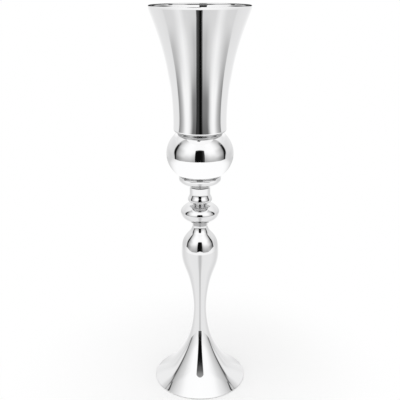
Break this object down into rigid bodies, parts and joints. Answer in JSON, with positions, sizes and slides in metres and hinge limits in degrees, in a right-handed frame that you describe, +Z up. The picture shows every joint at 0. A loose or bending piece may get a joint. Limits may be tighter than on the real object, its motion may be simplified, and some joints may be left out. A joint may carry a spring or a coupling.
{
  "type": "trumpet vase",
  "caption": "Tall chromed flower vase: a flared cup on a flattened ball, held by a small dish, spool and knop over a slim baluster stem and a wide bell foot.",
  "frame": {"origin": "centre of the footprint, on the surface that the vase stands on", "axes": "+Z up along the vase's axis, from the foot to the mouth; -Y faces the camera of the picture; the vase is round, so X and Y are free"},
  "size_m": [0.138, 0.138, 0.56],
  "materials": {
    "chrome": "bright polished plating",
    "zinc_steel": "bright zinc plating",
    "bare_steel": "plain drawn steel",
    "cast_weight": "rough casting",
    "cover_paint": "black satin paint",
    "felt": "pressed felt",
    "seal_rubber": "smooth rubber"
  },
  "bodies": {
    "root": {"trumpet_cup": "chrome", "dome_nut": "zinc_steel", "cup_washer": "zinc_steel", "cup_seal": "seal_rubber", "ball_upper_half": "chrome", "ball_lower_half": "chrome", "ball_spacer_tube": "bare_steel", "ball_dish": "chrome", "dish_spacer_tube": "bare_steel", "neck_spool": "chrome", "neck_collar": "chrome", "knop_upper_half": "chrome", "knop_lower_half": "chrome", "knop_spacer_tube": "bare_steel", "stem_top_plug": "bare_steel", "stem_body": "chrome", "waist_coupler": "bare_steel", "foot_bell": "chrome", "foot_weight": "cast_weight", "bottom_washer": "zinc_steel", "spring_washer": "zinc_steel", "bottom_nut": "zinc_steel", "tie_rod": "zinc_steel", "foot_cover": "cover_paint", "cover_screws": "zinc_steel", "felt_ring": "felt"}
  },
  "joints": []
}
